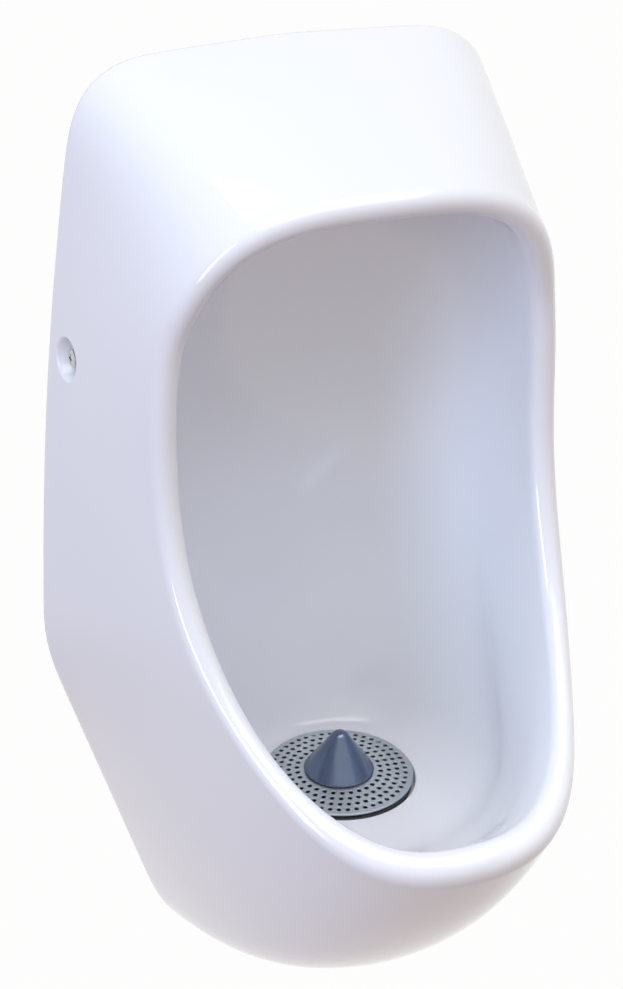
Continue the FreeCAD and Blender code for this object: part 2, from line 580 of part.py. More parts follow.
def side_screw():
    """Right screw: pan head with a cross slot on the collar, shank into the clip."""
    head, tip = POCKET_FLOOR_X + BUSH_COLLAR_T, BRACKET_LEG_X - BRACKET_T - 7.0 - 3.0
    body = along_x([(0, tip), (SCREW_R - 0.8, tip), (SCREW_R, tip + 1.0), (SCREW_R, head),
                    (SCREW_HEAD_R, head), (SCREW_HEAD_R, head + SCREW_HEAD_T - 1.2),
                    (SCREW_HEAD_R - 1.6, head + SCREW_HEAD_T), (0, head + SCREW_HEAD_T)])
    x = head + SCREW_HEAD_T - 1.6
    for half_y, half_z in ((3.2, 0.6), (0.6, 3.2)):
        body = body.cut(box(x, x + 3.0, SIDE_HOLE_Y - half_y, SIDE_HOLE_Y + half_y,
                            SIDE_HOLE_Z - half_z, SIDE_HOLE_Z + half_z))
    return body


def main():
    pieces = {
        "urinal_body": urinal_body(),
        "strainer_plate": strainer_plate(),
        "strainer_cone": strainer_cone(),
        "cone_gasket": cone_gasket(),
        "cone_screw": cone_screw(),
        "dip_bell": dip_bell(),
        "trap_cup": trap_cup(),
        "trap_standpipe": trap_standpipe(),
        "cup_oring_lower": cup_oring(ORING_Z[0]),
        "cup_oring_upper": cup_oring(ORING_Z[1]),
        "trap_housing": trap_housing(),
        "outlet_branch": outlet_branch(),
        "flange_seal": flange_seal(),
        "backnut_washer": backnut_washer(),
        "backnut": backnut(),
        "outlet_seal": outlet_seal(),
        "outlet_nut": outlet_nut(),
        "waste_pipe": waste_pipe(),
    }
    for name, make in (("bracket", bracket), ("clip_nut", clip_nut),
                       ("side_bush", side_bush), ("side_screw", side_screw)):
        pieces[name + "_right"] = make()
        pieces[name + "_left"] = other_side(make())
    os.makedirs("parts", exist_ok=True)
    for name, shape in pieces.items():
        solid = shape.Solids[0] if len(shape.Solids) == 1 else shape
        print(name, solid.ShapeType, "valid", solid.isValid(), "volume %.0f" % solid.Volume,
              "solids", len(shape.Solids))
        solid.exportStep("parts/%s.step" % name)


main()
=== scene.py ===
"""Wall hung waterless urinal: glazed china, perforated strainer with a polished cone, lift-out trap.

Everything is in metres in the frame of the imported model: X to the right seen from the front, Y towards
the wall, Z up, the wall plane at y = 0.
"""
from __future__ import annotations

import logging
import math
from dataclasses import dataclass, field
from enum import Enum

import bpy
import numpy as np
from mathutils import Matrix

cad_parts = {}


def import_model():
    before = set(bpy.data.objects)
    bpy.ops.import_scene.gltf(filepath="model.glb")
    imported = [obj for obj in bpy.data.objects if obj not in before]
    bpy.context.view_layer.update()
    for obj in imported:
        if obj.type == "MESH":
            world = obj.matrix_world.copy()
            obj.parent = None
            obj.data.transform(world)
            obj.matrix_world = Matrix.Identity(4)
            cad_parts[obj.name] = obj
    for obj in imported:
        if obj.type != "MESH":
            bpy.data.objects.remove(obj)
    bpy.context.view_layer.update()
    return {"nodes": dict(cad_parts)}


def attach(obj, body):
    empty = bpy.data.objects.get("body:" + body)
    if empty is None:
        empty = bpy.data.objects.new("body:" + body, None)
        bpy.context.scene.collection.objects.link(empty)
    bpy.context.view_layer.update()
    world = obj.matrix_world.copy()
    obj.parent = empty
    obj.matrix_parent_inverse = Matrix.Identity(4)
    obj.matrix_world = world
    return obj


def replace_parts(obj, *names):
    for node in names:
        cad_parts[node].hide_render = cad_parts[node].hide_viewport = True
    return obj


LOG = logging.getLogger("urinal")
MM = 0.001
Triple = tuple[float, float, float]
Pairs = tuple[tuple[float, float], ...]
Array = np.ndarray
Socket = bpy.types.NodeSocket
Material = bpy.types.Material
LOW_PEAK = 256.0 / 27.0  # scales t^3 (1 - t) to a height of 1, which it reaches at t = 3/4


# ---- Numeric helpers ----
def ease(t: Array) -> Array:
    """Smooth step: 3t^2 - 2t^3 with t held between 0 and 1."""
    t = np.clip(t, 0.0, 1.0)
    return t * t * (3.0 - 2.0 * t)


def unit(v: Array) -> Array:
    """Vectors divided by their own lengths."""
    return v / np.maximum(np.linalg.norm(v, axis=-1, keepdims=True), 1e-12)


def evenly(line: Array, count: int) -> Array:
    """Points at equal distances along a line.

    Args:
        line: points of a fine line, one per row.
        count: number of equal steps.

    Returns:
        count + 1 points, both ends included.
    """
    run = np.concatenate([[0.0], np.cumsum(np.linalg.norm(np.diff(line, axis=0), axis=1))])
    want = np.linspace(0.0, run[-1], count + 1)
    return np.stack([np.interp(want, run, line[:, k]) for k in range(line.shape[1])], axis=1)


def spline_weights(params: Array, count: int) -> Array:
    """Weights of a clamped uniform cubic B-spline.

    Args:
        params: parameters from 0 to count - 3.
        count: number of control rows.

    Returns:
        One row of weights per parameter, by the recursion that raises the degree from 0 to 3.
    """
    knots = np.concatenate([[0.0] * 3, np.arange(count - 2), [count - 3.0] * 3])
    t = np.clip(params, 0.0, count - 3.0 - 1e-9)
    basis = ((t[:, None] >= knots[None, :-1]) & (t[:, None] < knots[None, 1:])).astype(float)
    for degree in range(1, 4):
        left = knots[degree:-1] - knots[:-degree - 1]
        right = knots[degree + 1:] - knots[1:-degree]
        a = np.where(left > 0, (t[:, None] - knots[:-degree - 1]) / np.where(left > 0, left, 1.0), 0.0)
        b = np.where(right > 0, (knots[degree + 1:] - t[:, None]) / np.where(right > 0, right, 1.0), 0.0)
        basis = a * basis[:, :-1] + b * basis[:, 1:]
    return basis


def ring_weights(params: Array, count: int) -> Array:
    """Weights of a closed uniform cubic B-spline.

    Args:
        params: parameters; 0 lies at the first control point.
        count: number of control points.

    Returns:
        One row of weights per parameter: the four cubic blends of its neighbours.
    """
    out = np.zeros((len(params), count))
    base = np.floor(params).astype(int)
    t = params - base
    parts = ((1 - t) ** 3 / 6, (3 * t ** 3 - 6 * t ** 2 + 4) / 6,
             (-3 * t ** 3 + 3 * t ** 2 + 3 * t + 1) / 6, t ** 3 / 6)
    rows = np.arange(len(params))
    for step, part in zip((-1, 0, 1, 2), parts):
        np.add.at(out, (rows, (base + step) % count), part)
    return out


def surface_points(net: Array, rows: Array, around: Array) -> Array:
    """Points over a net: the sum of its poles times their row weights times their ring weights."""
    return np.einsum("va,abc,ub->vuc", spline_weights(rows, len(net)), net, around)


def refined(start: float, stop: float, step: float, windows: tuple[Triple, ...]) -> Array:
    """Parameters from start to stop whose steps get finer inside windows.

    Args:
        start: first parameter.
        stop: last parameter.
        step: step outside the windows.
        windows: (middle, half width, step) of each finer stretch.

    Returns:
        Rising parameters; the density is the sum of smooth bumps over the windows.
    """
    fine = np.linspace(start, stop, 20001)
    density = np.full_like(fine, 1.0 / step)
    for middle, half, small in windows:
        bump = ease((half * 1.5 - np.abs(fine - middle)) / (half * 0.5))
        density = np.maximum(density, bump / small)
    total = np.concatenate([[0.0], np.cumsum((density[1:] + density[:-1]) / 2 * np.diff(fine))])
    count = int(math.ceil(total[-1]))
    return np.interp(np.linspace(0.0, total[-1], count + 1), total, fine)


# ---- Mesh helpers ----
class Closure(Enum):
    """Which ends of a two-parameter grid of points join."""

    AROUND = "columns"
    TORUS = "columns and rows"


def grid_faces(rows: int, cols: int, closure: Closure) -> Array:
    """Quads of a grid, numbered row by row.

    Args:
        rows: number of rows.
        cols: number of columns.
        closure: which ends join.

    Returns:
        One line of four vertex numbers per quad.
    """
    r = np.arange(rows if closure is Closure.TORUS else rows - 1)
    rr, cc = np.meshgrid(r, np.arange(cols), indexing="ij")
    r2, c2 = (rr + 1) % rows, (cc + 1) % cols
    return np.stack([rr * cols + cc, rr * cols + c2, r2 * cols + c2, r2 * cols + cc], -1).reshape(-1, 4)


def new_object(name: str, points: Array, *faces: Array, smooth: bool = True) -> bpy.types.Object:
    """Object at the origin from points and faces.

    Args:
        name: object name.
        points: one row per vertex, in metres.
        faces: arrays of vertex numbers, each with faces of one length.
        smooth: shade smoothly.

    Returns:
        The linked object.
    """
    mesh = bpy.data.meshes.new(name)
    corners = np.concatenate([f.ravel() for f in faces]).astype(np.int32)
    sizes = np.concatenate([np.full(len(f), f.shape[1]) for f in faces])
    mesh.vertices.add(len(points))
    mesh.vertices.foreach_set("co", np.ascontiguousarray(points, dtype=np.float32).ravel())
    mesh.loops.add(len(corners))
    mesh.loops.foreach_set("vertex_index", corners)
    mesh.polygons.add(len(sizes))
    starts = np.concatenate([[0], np.cumsum(sizes)[:-1]]).astype(np.int32)
    mesh.polygons.foreach_set("loop_start", starts)
    mesh.polygons.foreach_set("use_smooth", np.full(len(sizes), smooth))
    mesh.update(calc_edges=True)
    mesh.validate()
    obj = bpy.data.objects.new(name, mesh)
    bpy.context.scene.collection.objects.link(obj)
    return obj


def capped(grid: Array, first: Array, last: Array
           ) -> tuple[Array, Array, Array]:
    """Rings of points closed by one pole at each end.

    Args:
        grid: rows x columns x 3 points, columns going round.
        first: pole before the first row.
        last: pole after the last row.

    Returns:
        Points, quads between the rows and triangles at the poles.
    """
    rows, cols = grid.shape[:2]
    points = np.concatenate([grid.reshape(-1, 3), first[None], last[None]])
    c = np.arange(cols)
    n = (c + 1) % cols
    start = np.stack([np.full(cols, rows * cols), n, c], 1)
    end = np.stack([(rows - 1) * cols + c, (rows - 1) * cols + n, np.full(cols, rows * cols + 1)], 1)
    return points, grid_faces(rows, cols, Closure.AROUND), np.concatenate([start, end])


def turned(profile: Array, segments: int, axis_y: float) -> Array:
    """Rings of a surface of revolution about the vertical drain axis.

    Args:
        profile: (radius, height) rows in metres.
        segments: number of steps around.
        axis_y: y of the axis in metres.

    Returns:
        Grid of (r cos a, axis_y + r sin a, z) for each profile row and angle a.
    """
    a = np.linspace(0.0, 2 * np.pi, segments, endpoint=False)
    r, z = profile[:, :1], profile[:, 1:]
    return np.stack([r * np.cos(a), axis_y + r * np.sin(a), np.repeat(z, segments, 1)], -1)


def corner_arc(before: Array, corner: Array, after: Array, radius: float, steps: int
               ) -> Array:
    """Arc that rounds one corner of an outline.

    Args:
        before: point before the corner.
        corner: the corner.
        after: point after it.
        radius: radius of the arc.
        steps: steps of the arc.

    Returns:
        Points of the circle that touches both lines; the corner alone where it is straight or sharp.
    """
    u, w = unit(before - corner), unit(after - corner)
    half = math.acos(float(np.clip(u @ w, -1.0, 1.0))) / 2.0
    if radius <= 0.0 or half > math.pi / 2 - 1e-3:
        return corner[None]
    centre = corner + unit(u + w) * radius / math.sin(half)
    a, b = (corner + v * radius / math.tan(half) - centre for v in (u, w))
    span, t = math.pi - 2.0 * half, np.linspace(0.0, 1.0, steps + 1)[:, None]
    return centre + (np.sin((1 - t) * span) * a + np.sin(t * span) * b) / math.sin(span)


def softened(corners: list[Triple], steps: int = 5) -> Array:
    """Closed outline in a plane with every corner rounded.

    Args:
        corners: (x, y, radius) of each corner in order.
        steps: arc steps per corner.

    Returns:
        Points on straight lines joined by arcs that touch both lines.
    """
    pts = np.array([c[:2] for c in corners], float)
    after = np.roll(pts, -1, 0)
    return np.concatenate([corner_arc(pts[i - 1], pts[i], after[i], radius, steps)
                           for i, (_, _, radius) in enumerate(corners)])


# ---- Finishes ----
class NodeSheet:
    """Thin wrapper that adds, fills and links the shader nodes of one material or world."""

    def __init__(self, owner: Material | bpy.types.World) -> None:
        """Start from the surface shader that a new owner has.

        Args:
            owner: the material or world.
        """
        owner.use_nodes = True
        self.owner, self.tree = owner, owner.node_tree
        self.solid = isinstance(owner, Material)
        self.shader = self.tree.nodes["Principled BSDF" if self.solid else "Background"]

    def put(self, value: object, target: Socket) -> None:
        """Link an input to a socket, or set it to a number or tuple.

        Args:
            value: socket, number or tuple.
            target: the input.
        """
        if isinstance(value, Socket):
            self.tree.links.new(value, target)
        else:
            target.default_value = value

    def fill(self, node: bpy.types.Node, **inputs: object) -> None:
        """Put values into a node's inputs, by their names with _ for a space."""
        for name, value in inputs.items():
            self.put(value, node.inputs[name.replace("_", " ")])

    def node(self, kind: str, output: str, **inputs: object) -> Socket:
        """Add a node and fill its inputs.

        Args:
            kind: its type without "ShaderNode".
            output: name of the output that is wanted.
            inputs: as in fill.

        Returns:
            The output.
        """
        node = self.tree.nodes.new("ShaderNode" + kind)
        self.fill(node, **inputs)
        return node.outputs[output]

    def surface(self, **inputs: object) -> None:
        """Fill inputs of the surface shader."""
        self.fill(self.shader, **inputs)

    def maths(self, operation: str, first: Socket, second: Socket | float) -> Socket:
        """Maths node.

        Args:
            operation: what it does.
            first: its first input.
            second: its second input.

        Returns:
            The result.
        """
        node = self.tree.nodes.new("ShaderNodeMath")
        node.operation = operation
        self.put(first, node.inputs[0])
        self.put(second, node.inputs[1])
        return node.outputs[0]

    def whiten(self, share: float) -> None:
        """Mix the surface with white of strength 1 for camera, glossy and transmission rays.

        Args:
            share: share of white for those rays.
        """
        path = self.tree.nodes.new("ShaderNodeLightPath").outputs
        seen = path["Is Camera Ray"]
        for name in ("Is Glossy Ray", "Is Transmission Ray"):
            seen = self.maths("MAXIMUM", seen, path[name])
        kind = "Emission" if self.solid else "Background"
        white = self.node(kind, kind, Color=(1.0, 1.0, 1.0, 1.0), Strength=1.0)
        plain = self.shader.outputs[0]
        end = plain.links[0].to_socket
        mix = self.tree.nodes.new("ShaderNodeMixShader")
        for value, target in zip((self.maths("MULTIPLY", seen, share), plain, white), mix.inputs):
            self.put(value, target)
        self.put(mix.outputs[0], end)

    def place(self) -> Socket:
        """Object coordinates."""
        return self.node("TexCoord", "Object")

    def noise(self, scale: float, detail: float = 2.0, stretch: Triple = (1, 1, 1)) -> Socket:
        """Noise over object coordinates, stretched by a factor per axis."""
        vector = self.node("Mapping", "Vector", Vector=self.place(), Scale=stretch)
        return self.node("TexNoise", "Fac", Vector=vector, Scale=scale, Detail=detail)

    def ramp(self, factor: Socket, low: Triple, high: Triple, start: float = 0.3,
             stop: float = 0.7) -> Socket:
        """Colour ramp between two colours.

        Args:
            factor: what the colour follows.
            low: colour where the factor is below start.
            high: colour where it is above stop.
            start: factor at which the change begins.
            stop: factor at which it ends.

        Returns:
            The colour.
        """
        colour = self.node("ValToRGB", "Color", Fac=factor)
        ends = colour.node.color_ramp.elements
        ends[0].position, ends[0].color = start, (*low, 1.0)
        ends[1].position, ends[1].color = stop, (*high, 1.0)
        return colour

    def spread(self, factor: Socket, low: float, high: float) -> Socket:
        """Map 0..1 to low..high."""
        return self.node("MapRange", "Result", Value=factor, To_Min=low, To_Max=high)

    def bump(self, height: Socket, strength: float, distance: float) -> None:
        """Relief from a height socket; distance in metres."""
        self.surface(Normal=self.node("Bump", "Normal", Height=height, Strength=strength,
                                      Distance=distance))


def tinted(colour: Triple, factor: float) -> Triple:
    """Colour made lighter or darker, held between 0 and 1."""
    return tuple(min(1.0, max(0.0, c * factor)) for c in colour)


@dataclass(frozen=True)
class Glaze:
    """Clear glass glaze over white vitreous china."""

    name: str = "glazed_china"
    colour: Triple = (0.79, 0.81, 0.85)
    roughness: float = 0.06
    ripple: float = 0.00006

    def build(self) -> Material:
        """White body with a faint drift of tone and the long slow ripple of a fired glaze.

        Returns:
            The material.
        """
        sheet = NodeSheet(bpy.data.materials.new(self.name))
        sheet.surface(
            Base_Color=sheet.ramp(sheet.noise(6.0, 1.0), tinted(self.colour, 0.985), self.colour),
            Roughness=sheet.spread(sheet.noise(40.0), self.roughness, self.roughness + 0.03),
            IOR=1.52, Coat_Weight=0.35, Coat_Roughness=0.03)
        sheet.bump(sheet.noise(22.0, 1.0), 0.25, self.ripple)
        return sheet.owner


@dataclass(frozen=True)
class SatinSteel:
    """Fine-ground stainless steel with circular or straight grain."""

    name: str = "satin_steel"
    colour: Triple = (0.533, 0.576, 0.602)
    roughness: float = 0.42
    grain: Triple = (1.0, 30.0, 30.0)

    def build(self) -> Material:
        """Metal whose roughness and relief follow a stretched noise.

        Returns:
            The material.
        """
        sheet = NodeSheet(bpy.data.materials.new(self.name))
        grain = sheet.noise(60.0, 3.0, self.grain)
        sheet.surface(
            Base_Color=sheet.ramp(grain, tinted(self.colour, 0.92), tinted(self.colour, 1.06)),
            Roughness=sheet.spread(grain, self.roughness - 0.05, self.roughness + 0.08), Metallic=1.0)
        sheet.bump(grain, 0.15, 0.00005)
        return sheet.owner


@dataclass(frozen=True)
class PolishedMetal:
    """Mirror-polished cone with faint lathe marks; its slate-blue colour is a painted reflection of dark
    surroundings, not the metal's own colour.
    """

    name: str = "polished_metal_painted_reflection"
    # painted reflection: slate blue stands in for the dark surroundings the polished cone would mirror
    colour: Triple = (0.145, 0.185, 0.265)
    roughness: float = 0.16

    def build(self) -> Material:
        """Polished metal whose slate-blue colour is a painted reflection; fine rings by height and a trace
        of water marks.

        Returns:
            The material.
        """
        sheet = NodeSheet(bpy.data.materials.new(self.name))
        spots = sheet.noise(90.0)
        sheet.surface(
            Base_Color=sheet.ramp(spots, tinted(self.colour, 0.93), self.colour),
            Roughness=sheet.spread(spots, self.roughness, self.roughness + 0.08), Metallic=1.0)
        sheet.bump(sheet.noise(14.0, stretch=(1.0, 1.0, 60.0)), 0.08, 0.00003)
        return sheet.owner


@dataclass(frozen=True)
class Plastic:
    """Moulded plastic with a fine texture."""

    name: str
    colour: Triple
    roughness: float = 0.45
    grain: float = 0.00004

    def build(self) -> Material:
        """Plastic with slight tone drift and an eroded-mould texture.

        Returns:
            The material.
        """
        sheet = NodeSheet(bpy.data.materials.new(self.name))
        fine = sheet.noise(1400.0)
        sheet.surface(
            Base_Color=sheet.ramp(sheet.noise(25.0), tinted(self.colour, 0.9), tinted(self.colour, 1.05)),
            Roughness=sheet.spread(fine, self.roughness - 0.06, self.roughness + 0.06))
        sheet.bump(fine, 0.3, self.grain)
        return sheet.owner


@dataclass(frozen=True)
class SealRubber:
    """Black seal rubber with a dusty bloom."""

    name: str = "seal_rubber"
    colour: Triple = (0.025, 0.025, 0.028)

    def build(self) -> Material:
        """Dark matt rubber, lighter in patches.

        Returns:
            The material.
        """
        sheet = NodeSheet(bpy.data.materials.new(self.name))
        bloom = sheet.noise(120.0, 3.0)
        sheet.surface(
            Base_Color=sheet.ramp(bloom, self.colour, tinted(self.colour, 2.2), 0.45, 0.8),
            Roughness=sheet.spread(bloom, 0.6, 0.8))
        sheet.bump(sheet.noise(900.0), 0.25, 0.00004)
        return sheet.owner


@dataclass(frozen=True)
class ZincPlate:
    """Zinc-plated sheet steel with a faint spangle."""

    name: str = "zinc_plate"
    colour: Triple = (0.60, 0.62, 0.62)

    def build(self) -> Material:
        """Metal with cell-like patches of tone.

        Returns:
            The material.
        """
        sheet = NodeSheet(bpy.data.materials.new(self.name))
        tone = sheet.node("TexVoronoi", "Distance", Vector=sheet.place(), Scale=160.0)
        sheet.surface(
            Base_Color=sheet.ramp(tone, tinted(self.colour, 0.85), tinted(self.colour, 1.08), 0.1, 0.7),
            Roughness=sheet.spread(tone, 0.32, 0.5), Metallic=1.0)
        sheet.bump(tone, 0.05, 0.00005)
        return sheet.owner


def dress(obj: bpy.types.Object, material: Material) -> None:
    """Give every material slot of an object one material.

    Args:
        obj: the object.
        material: the material.
    """
    if not obj.data.materials:
        obj.data.materials.append(material)
    for slot in obj.material_slots:
        slot.material = material


# ---- China ----
@dataclass
class China:
    """Glazed china casting; all sizes in millimetres.

    Closed outlines run from the wall edge over the outer skin and the rolled rim into the bowl. They
    are the control rows of one smooth surface; a second set, sunk below it, bounds the hollow behind.
    The triples of throat, deep, low and rest are values at an outline's top, sides and foot.
    """

    top_z: float = 680.9
    foot_drop: float = 4.0
    half_top: float = 137.9
    half_waist: float = 168.0
    side_arch: float = 7.0
    waist_z: float = 268.0
    half_foot: float = 77.0
    foot_z: float = 4.0
    top_arch: float = 6.0
    corner_radii: Triple = (42.0, 70.0, 52.0)
    rim_half: float = 128.5
    rim_z: float = 433.0
    rim_up: float = 193.0
    rim_down: float = 170.6
    square_up: float = 3.5
    square_down: float = 2.78
    neck_z: float = 538.0
    depth_neck: float = 128.0
    depth_top: float = 158.0
    depth_lip: float = 321.3
    low_depth: float = -7.0
    low_pinch: float = 2.8
    pinch_from: float = 60.0
    bend_top: float = 1.1
    bend_lip: float = 3.05
    roll_side: float = 9.5
    roll_lip: float = 12.7
    roll_corner: float = -3.2
    corner_at: float = 0.76
    corner_width: float = 0.12
    roll_turn: float = 50.0
    lean_from: float = 0.45
    lean_power: float = 1.5
    roll_start: float = -5.0
    roll_near: float = 25.0
    roll_angles: tuple[float, ...] = (60.0, 90.0, 120.0, 155.0)
    roll_end: float = 187.0
    roll_puff: float = 1.03
    skin_steps: tuple[float, ...] = (0.06, 0.2, 0.4, 0.6, 0.8, 0.93)
    chin: float = 35.4
    chin_from: float = 0.6
    chin_back: float = 0.8
    hood_bow: float = 5.0
    side_bow: float = 2.0
    side_bow_at: float = 0.4
    side_bow_width: float = 0.2
    bowl_back: float = 34.0
    throat_x: float = 0.985
    throat_back: Triple = (0.65, 0.25, 0.07)
    throat_up: Triple = (6.0, -5.0, -14.0)
    deep_x: Triple = (0.86, 0.90, 0.92)
    deep_back: Triple = (1.0, 0.36, 0.15)
    deep_up: Triple = (0.92, 0.60, 0.42)
    low_out: Triple = (30.0, 52.0, 50.0)
    low_up: Triple = (150.0, 45.0, 8.0)
    rest_out: Triple = (24.0, 28.0, 30.0)
    rest_up: Triple = (26.0, 7.0, 3.0)
    floor_z: float = 200.0
    wall: float = 9.0
    floor: float = 16.0
    skin_sink: float = 1.1
    bowl_sink: float = 1.15
    nose_share: float = 0.45
    nose_pull: float = 0.35
    drain_y: float = -122.0
    seat_r: float = 51.6
    seat_depth: float = 6.0
    seat_land: float = 4.4
    drain_r: float = 42.5
    seat_edges: Triple = (1.2, 1.0, 0.8)
    under_land: float = 9.0
    hole_y: float = -26.0
    hole_z: float = 491.0
    pocket_floor_x: float = 147.5
    pocket_floor_r: float = 11.6
    pocket_slope: float = 3.4
    pocket_soft: float = 1.6
    pocket_zone: float = 30.0
    pocket_margin: float = 3.0
    pocket_reach: float = 17.0
    pocket_step: float = 0.9
    pocket_step_u: float = 0.032
    station_gap: float = 28.0
    step_u: float = 0.30
    step_v: float = 0.16
    rim_window: Triple = (10.0, 2.4, 0.12)
    halves: int = 32
    frac: Array = field(init=False)
    side: Array = field(init=False)

    def __post_init__(self) -> None:
        """Fraction from the top (0) to the foot (1) and the side of every outline station."""
        i = np.arange(2 * self.halves)
        self.frac = np.where(i <= self.halves, i / self.halves, 2.0 - i / self.halves)
        self.side = np.where(i <= self.halves, 1.0, -1.0)

    @property
    def phi(self) -> Array:
        """Angle of every station from the top middle."""
        return np.pi * self.frac

    def wave(self, values: Triple) -> Array:
        """Even wave round the outline through its values at the top, the sides and the foot."""
        top, side, low = values
        return ((top + low + 2.0 * side) / 4.0 + (top - low) / 2.0 * np.cos(self.phi)
                + (top + low - 2.0 * side) / 4.0 * np.cos(2.0 * self.phi))

    @staticmethod
    def mirrored(half: Array) -> Array:
        """Half outline joined to its mirror image."""
        return np.concatenate([half, half[-2:0:-1] * [-1.0, 1.0, 1.0]])

    def wall_outline(self, inset: float = 0.0) -> Array:
        """Shield on the wall plane: five corners, three rounded by arcs; half-sine bow above the waist.

        Args:
            inset: distance inside the china's edge.

        Returns:
            Control row.
        """
        r = [c - 0.6 * inset for c in self.corner_radii]
        keys = np.array([(0.0, self.top_z - inset),
                         (self.half_top - inset, self.top_z - self.top_arch - inset),
                         (self.half_waist - inset, self.waist_z),
                         (self.half_foot - 0.8 * inset, self.foot_z + inset), (0.0, inset - self.foot_drop)])
        arcs = [corner_arc(keys[i - 1], keys[i], keys[i + 1], r[i - 1], 8) for i in (1, 2, 3)]
        line = evenly(np.concatenate([keys[:1], *arcs, keys[4:]]), self.halves)
        up = np.clip((line[:, 1] - self.waist_z) / (self.top_z - self.top_arch - self.waist_z), 0, 1)
        line[:, 0] += self.side_arch * np.sin(np.pi * up) * np.clip(line[:, 0] / self.half_foot, 0, 1)
        return self.mirrored(np.stack([line[:, 0], 0 * line[:, 0], line[:, 1]], 1))

    def rim_outline(self) -> Array:
        """Superellipse in the front view; its depth grows by powers above and below the neck.

        A bump that peaks three quarters of the way from neck to lip draws it in and back a little.

        Returns:
            Line round which the rim is rolled.
        """
        a = np.linspace(0.0, np.pi, 401)
        c, s = np.cos(a), np.abs(np.sin(a))
        power = np.where(c > 0, self.square_up, self.square_down)
        x = self.rim_half * s ** (2.0 / power)
        x[[0, -1]] = 0.0
        reach = np.where(c > 0, self.rim_up, self.rim_down)
        z = self.rim_z + np.sign(c) * reach * np.abs(c) ** (2.0 / power)
        above = np.clip((z - self.neck_z) / (self.rim_z + self.rim_up - self.neck_z), 0, None)
        below = np.clip((self.neck_z - z) / (self.neck_z - self.rim_z + self.rim_down), 0, None)
        depth = (self.depth_neck + (self.depth_top - self.depth_neck) * above ** self.bend_top
                 + (self.depth_lip - self.depth_neck) * below ** self.bend_lip)
        low = LOW_PEAK * below ** 3 * (1.0 - below)
        x = x - self.low_pinch * low * np.clip(x / self.pinch_from, 0, 1)
        depth = depth + self.low_depth * low
        return self.mirrored(evenly(np.stack([x, -depth, z], 1), self.halves))

    def roll_row(self, angle: float, puff: float = 1.0) -> Array:
        """Row of the rolled rim: a circle about the rim line, thinner at the lower corners, leaning back.

        Args:
            angle: degrees round the roll, from its outer side over the front.
            puff: factor on its radius.

        Returns:
            Control row.
        """
        rim = self.rim_outline()
        along = unit(np.roll(rim, -1, 0) - np.roll(rim, 1, 0))
        out = unit(np.stack([-along[:, 2], 0 * along[:, 0], along[:, 0]], 1))
        out *= np.where(((rim - [0, 0, self.rim_z]) * out)[:, [0, 2]].sum(1) < 0, -1.0, 1.0)[:, None]
        front = unit(np.cross(out, along))
        front *= np.where(front[:, 1] > 0, -1.0, 1.0)[:, None]
        corner = self.roll_corner * np.exp(-((self.frac - self.corner_at) / self.corner_width) ** 2)
        grow = (self.roll_lip - self.roll_side) * ease((self.frac - 0.5) / 0.5)
        r = puff * (self.roll_side + grow + corner)
        way = np.clip((self.frac - self.lean_from) / (1.0 - self.lean_from), 0, None)
        lean = np.radians(angle + self.roll_turn * way ** self.lean_power)
        return rim + r[:, None] * (np.cos(lean)[:, None] * out + np.sin(lean)[:, None] * front)

    def skin_row(self, t: float) -> Array:
        """Row of the outer skin, bowed outwards, full below the lip.

        Args:
            t: share of the way from wall to rim.

        Returns:
            Control row: the straight blend plus a bow of 4t(1 - t).
        """
        b = 4.0 * t * (1.0 - t)
        bow = (self.hood_bow * np.clip(1.0 - 4.0 * self.frac, 0, None)
               + self.side_bow * np.exp(-((self.frac - self.side_bow_at) / self.side_bow_width) ** 2))
        under = self.chin * ease((self.frac - self.chin_from) / (1.0 - self.chin_from))
        rows = self.wall_outline() * (1 - t) + self.roll_row(self.roll_start) * t
        return rows + b * np.stack([bow * np.sin(self.phi) * self.side, -self.chin_back * under,
                                    bow * np.cos(self.phi) - under], 1)

    def floor_ring(self, out: Array | float, up: Array | float) -> Array:
        """Ring round the drain, out beyond the seat and up from the floor."""
        r = self.seat_r + self.seat_land + out
        return np.stack([r * np.sin(self.phi) * self.side, self.drain_y + r * np.cos(self.phi),
                         self.floor_z + up + 0 * self.phi], 1)

    def bowl_rows(self) -> list[Array]:
        """Rows from the rim over the bowl's back and sides to the drain.

        Returns:
            Control rows.
        """
        p = self.roll_row(self.roll_end)
        d = -self.bowl_back - p[:, 1]
        throat = np.stack([p[:, 0] * self.throat_x, p[:, 1] + d * self.wave(self.throat_back),
                           p[:, 2] + self.wave(self.throat_up)], 1)
        deep = np.stack([p[:, 0] * self.wave(self.deep_x), p[:, 1] + d * self.wave(self.deep_back),
                         self.floor_z + (p[:, 2] - self.floor_z) * self.wave(self.deep_up)], 1)
        low = self.floor_ring(self.wave(self.low_out), self.wave(self.low_up))
        rest = self.floor_ring(self.wave(self.rest_out), self.wave(self.rest_up))
        return [throat, deep, low, rest, self.floor_ring(8.0, 0.6), self.floor_ring(0.0, 0.0)]

    def outer_net(self) -> Array:
        """All control rows from the wall edge to the drain.

        Returns:
            Rows x stations x 3 net.
        """
        wall = self.wall_outline()
        rows = [wall, wall - [0.0, 2.0, 0.0]]
        rows += [self.skin_row(t) for t in self.skin_steps]
        rows += [self.roll_row(self.roll_start), self.roll_row(self.roll_near)]
        rows += [self.roll_row(a, self.roll_puff) for a in self.roll_angles] + [self.roll_row(self.roll_end)]
        return np.stack(rows + self.bowl_rows())

